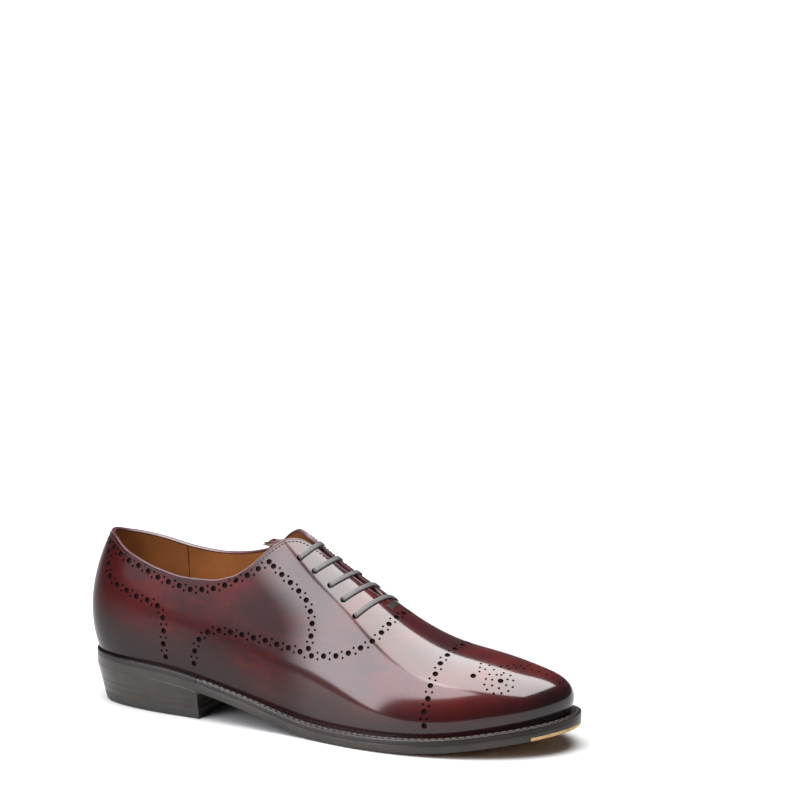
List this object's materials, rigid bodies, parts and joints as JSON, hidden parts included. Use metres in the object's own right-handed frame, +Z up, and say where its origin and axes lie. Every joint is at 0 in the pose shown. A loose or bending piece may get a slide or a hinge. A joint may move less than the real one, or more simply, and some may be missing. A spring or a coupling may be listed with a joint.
{
  "type": "leather oxford shoe",
  "caption": "Right-foot burgundy leather oxford dress shoe with closed lacing, punched decoration, welted leather sole and stacked heel; the tongue folds down into the shoe.",
  "frame": {"origin": "middle of the bounding box in plan, on the ground under the heel and the ball of the sole", "axes": "+X from heel to toe, +Y to the inner (medial) side of the foot, +Z up"},
  "size_m": [0.306, 0.0986, 0.1093],
  "materials": {
    "upper_leather": "hand-burnished burgundy calf with a high polish",
    "lining_leather": "natural tan lining calf, semi-matt",
    "stiffening": "skived leather board, matt",
    "eyelet_brass": "satin",
    "waxed_lace": "dark grey waxed cotton",
    "tip_steel": "satin",
    "sewing_thread": "light grey waxed thread",
    "insole_leather": "natural, matt",
    "cork": "pressed cork",
    "shank_steel": "blued spring steel",
    "stained_edge": "dark stained and waxed edge",
    "outsole_leather": "oak-bark tanned sole leather, stained dark at the edge and waist",
    "toe_brass": "satin",
    "screw_steel": "satin",
    "heel_rubber": "matt black",
    "nail_brass": "satin"
  },
  "bodies": {
    "shoe": {"upper": "upper_leather", "topline_binding": "upper_leather", "heel_lining": "lining_leather", "quarter_lining_lateral": "lining_leather", "quarter_lining_medial": "lining_leather", "vamp_lining": "lining_leather", "heel_sock": "lining_leather", "heel_stiffener": "stiffening", "toe_puff": "stiffening", "eyelet_lateral_1": "eyelet_brass", "eyelet_medial_1": "eyelet_brass", "eyelet_lateral_2": "eyelet_brass", "eyelet_medial_2": "eyelet_brass", "eyelet_lateral_3": "eyelet_brass", "eyelet_medial_3": "eyelet_brass", "eyelet_lateral_4": "eyelet_brass", "eyelet_medial_4": "eyelet_brass", "eyelet_lateral_5": "eyelet_brass", "eyelet_medial_5": "eyelet_brass", "shoelace": "waxed_lace", "aglet_lateral": "tip_steel", "aglet_medial": "tip_steel", "throat_bartack": "sewing_thread", "welt_thread": "sewing_thread", "insole": "insole_leather", "insole_rib": "insole_leather", "cork_filler": "cork", "shank": "shank_steel", "welt": "stained_edge", "heel_rand": "stained_edge", "heel_lift_1": "stained_edge", "heel_lift_2": "stained_edge", "heel_lift_3": "stained_edge", "outsole": "outsole_leather", "toe_plate": "toe_brass", "toe_plate_screw_1": "screw_steel", "toe_plate_screw_2": "screw_steel", "toe_plate_screw_3": "screw_steel", "top_piece": "heel_rubber", "heel_nail_1": "nail_brass", "heel_nail_2": "nail_brass", "heel_nail_3": "nail_brass", "heel_nail_4": "nail_brass", "heel_nail_5": "nail_brass"},
    "tongue": {"tongue": "upper_leather", "tongue_lining": "lining_leather"}
  },
  "joints": [
    {"name": "tongue_fold", "type": "hinge", "parent": "shoe", "child": "tongue", "pos_m": [0.0455, 0, 0.0625], "axis": [0, -1, 0], "range_deg": [0, 12], "stiffness_Nm_per_rad": 0.5}
  ]
}
